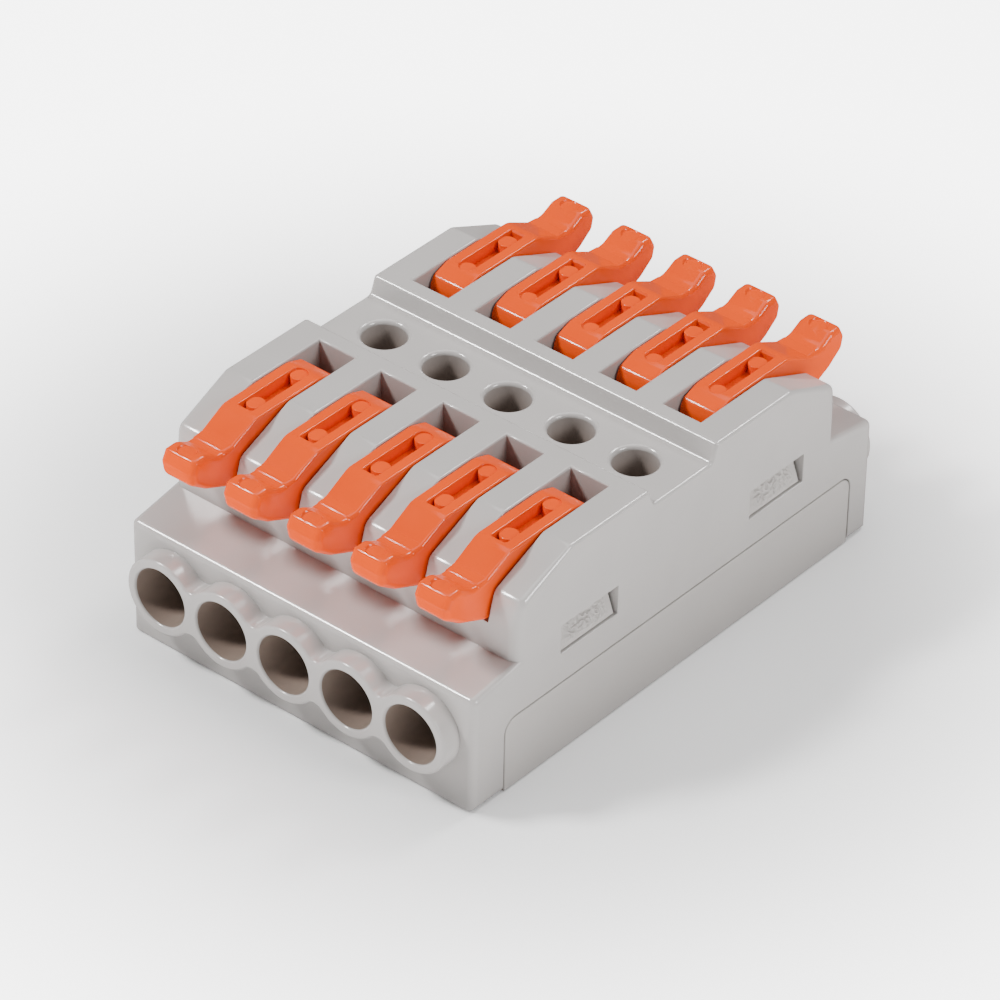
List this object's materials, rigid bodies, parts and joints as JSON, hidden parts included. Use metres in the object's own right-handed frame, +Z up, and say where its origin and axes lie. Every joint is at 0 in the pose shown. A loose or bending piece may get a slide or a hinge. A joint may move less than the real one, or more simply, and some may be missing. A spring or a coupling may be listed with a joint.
{
  "type": "lever wire connector",
  "caption": "Straight-through splicing connector with a wire port, a cage spring and an orange lever at both ends of each pole, in a grey housing.",
  "frame": {"origin": "middle of the bottom face", "axes": "+Y along the wires, towards the back ports; +X across the poles; +Z up, towards the levers"},
  "size_m": [0.03, 0.0452, 0.0164],
  "materials": {
    "housing_plastic": "glossy moulded grey polyamide",
    "lever_plastic": "glossy moulded orange polyamide",
    "busbar_metal": "tinned copper strip",
    "spring_steel": "bright rolled spring steel strip"
  },
  "bodies": {
    "housing": {"upper_housing": "housing_plastic", "bottom_cover": "housing_plastic", "busbar_1": "busbar_metal", "busbar_2": "busbar_metal", "busbar_3": "busbar_metal", "busbar_4": "busbar_metal", "busbar_5": "busbar_metal", "front_spring_root_1": "spring_steel", "front_spring_root_2": "spring_steel", "front_spring_root_3": "spring_steel", "front_spring_root_4": "spring_steel", "front_spring_root_5": "spring_steel", "back_spring_root_1": "spring_steel", "back_spring_root_2": "spring_steel", "back_spring_root_3": "spring_steel", "back_spring_root_4": "spring_steel", "back_spring_root_5": "spring_steel"},
    "front_lever_1": {"front_lever_1": "lever_plastic"},
    "front_cage_1": {"front_spring_cage_1": "spring_steel"},
    "front_lever_2": {"front_lever_2": "lever_plastic"},
    "front_cage_2": {"front_spring_cage_2": "spring_steel"},
    "front_lever_3": {"front_lever_3": "lever_plastic"},
    "front_cage_3": {"front_spring_cage_3": "spring_steel"},
    "front_lever_4": {"front_lever_4": "lever_plastic"},
    "front_cage_4": {"front_spring_cage_4": "spring_steel"},
    "front_lever_5": {"front_lever_5": "lever_plastic"},
    "front_cage_5": {"front_spring_cage_5": "spring_steel"},
    "back_lever_1": {"back_lever_1": "lever_plastic"},
    "back_cage_1": {"back_spring_cage_1": "spring_steel"},
    "back_lever_2": {"back_lever_2": "lever_plastic"},
    "back_cage_2": {"back_spring_cage_2": "spring_steel"},
    "back_lever_3": {"back_lever_3": "lever_plastic"},
    "back_cage_3": {"back_spring_cage_3": "spring_steel"},
    "back_lever_4": {"back_lever_4": "lever_plastic"},
    "back_cage_4": {"back_spring_cage_4": "spring_steel"},
    "back_lever_5": {"back_lever_5": "lever_plastic"},
    "back_cage_5": {"back_spring_cage_5": "spring_steel"}
  },
  "joints": [
    {"name": "front_lever_1_hinge", "type": "hinge", "parent": "housing", "child": "front_lever_1", "pos_m": [-0.011, -0.01, 0.014], "axis": [-1, 0, 0], "range_deg": [0, 85]},
    {"name": "front_cage_1_flex", "type": "hinge", "parent": "housing", "child": "front_cage_1", "pos_m": [-0.011, -0.0046, 0.00955], "axis": [1, 0, 0], "range_deg": [0, 16.2]},
    {"name": "front_lever_2_hinge", "type": "hinge", "parent": "housing", "child": "front_lever_2", "pos_m": [-0.0055, -0.01, 0.014], "axis": [-1, 0, 0], "range_deg": [0, 85]},
    {"name": "front_cage_2_flex", "type": "hinge", "parent": "housing", "child": "front_cage_2", "pos_m": [-0.0055, -0.0046, 0.00955], "axis": [1, 0, 0], "range_deg": [0, 16.2]},
    {"name": "front_lever_3_hinge", "type": "hinge", "parent": "housing", "child": "front_lever_3", "pos_m": [0, -0.01, 0.014], "axis": [-1, 0, 0], "range_deg": [0, 85]},
    {"name": "front_cage_3_flex", "type": "hinge", "parent": "housing", "child": "front_cage_3", "pos_m": [0, -0.0046, 0.00955], "axis": [1, 0, 0], "range_deg": [0, 16.2]},
    {"name": "front_lever_4_hinge", "type": "hinge", "parent": "housing", "child": "front_lever_4", "pos_m": [0.0055, -0.01, 0.014], "axis": [-1, 0, 0], "range_deg": [0, 85]},
    {"name": "front_cage_4_flex", "type": "hinge", "parent": "housing", "child": "front_cage_4", "pos_m": [0.0055, -0.0046, 0.00955], "axis": [1, 0, 0], "range_deg": [0, 16.2]},
    {"name": "front_lever_5_hinge", "type": "hinge", "parent": "housing", "child": "front_lever_5", "pos_m": [0.011, -0.01, 0.014], "axis": [-1, 0, 0], "range_deg": [0, 85]},
    {"name": "front_cage_5_flex", "type": "hinge", "parent": "housing", "child": "front_cage_5", "pos_m": [0.011, -0.0046, 0.00955], "axis": [1, 0, 0], "range_deg": [0, 16.2]},
    {"name": "back_lever_1_hinge", "type": "hinge", "parent": "housing", "child": "back_lever_1", "pos_m": [-0.011, 0.01, 0.014], "axis": [1, 0, 0], "range_deg": [0, 85]},
    {"name": "back_cage_1_flex", "type": "hinge", "parent": "housing", "child": "back_cage_1", "pos_m": [-0.011, 0.0046, 0.00955], "axis": [-1, 0, 0], "range_deg": [0, 16.2]},
    {"name": "back_lever_2_hinge", "type": "hinge", "parent": "housing", "child": "back_lever_2", "pos_m": [-0.0055, 0.01, 0.014], "axis": [1, 0, 0], "range_deg": [0, 85]},
    {"name": "back_cage_2_flex", "type": "hinge", "parent": "housing", "child": "back_cage_2", "pos_m": [-0.0055, 0.0046, 0.00955], "axis": [-1, 0, 0], "range_deg": [0, 16.2]},
    {"name": "back_lever_3_hinge", "type": "hinge", "parent": "housing", "child": "back_lever_3", "pos_m": [0, 0.01, 0.014], "axis": [1, 0, 0], "range_deg": [0, 85]},
    {"name": "back_cage_3_flex", "type": "hinge", "parent": "housing", "child": "back_cage_3", "pos_m": [0, 0.0046, 0.00955], "axis": [-1, 0, 0], "range_deg": [0, 16.2]},
    {"name": "back_lever_4_hinge", "type": "hinge", "parent": "housing", "child": "back_lever_4", "pos_m": [0.0055, 0.01, 0.014], "axis": [1, 0, 0], "range_deg": [0, 85]},
    {"name": "back_cage_4_flex", "type": "hinge", "parent": "housing", "child": "back_cage_4", "pos_m": [0.0055, 0.0046, 0.00955], "axis": [-1, 0, 0], "range_deg": [0, 16.2]},
    {"name": "back_lever_5_hinge", "type": "hinge", "parent": "housing", "child": "back_lever_5", "pos_m": [0.011, 0.01, 0.014], "axis": [1, 0, 0], "range_deg": [0, 85]},
    {"name": "back_cage_5_flex", "type": "hinge", "parent": "housing", "child": "back_cage_5", "pos_m": [0.011, 0.0046, 0.00955], "axis": [-1, 0, 0], "range_deg": [0, 16.2]}
  ],
  "couplings": [
    {"joint": "front_cage_1_flex", "follows": "front_lever_1_hinge", "ratio": 0.19},
    {"joint": "front_cage_2_flex", "follows": "front_lever_2_hinge", "ratio": 0.19},
    {"joint": "front_cage_3_flex", "follows": "front_lever_3_hinge", "ratio": 0.19},
    {"joint": "front_cage_4_flex", "follows": "front_lever_4_hinge", "ratio": 0.19},
    {"joint": "front_cage_5_flex", "follows": "front_lever_5_hinge", "ratio": 0.19},
    {"joint": "back_cage_1_flex", "follows": "back_lever_1_hinge", "ratio": 0.19},
    {"joint": "back_cage_2_flex", "follows": "back_lever_2_hinge", "ratio": 0.19},
    {"joint": "back_cage_3_flex", "follows": "back_lever_3_hinge", "ratio": 0.19},
    {"joint": "back_cage_4_flex", "follows": "back_lever_4_hinge", "ratio": 0.19},
    {"joint": "back_cage_5_flex", "follows": "back_lever_5_hinge", "ratio": 0.19}
  ]
}
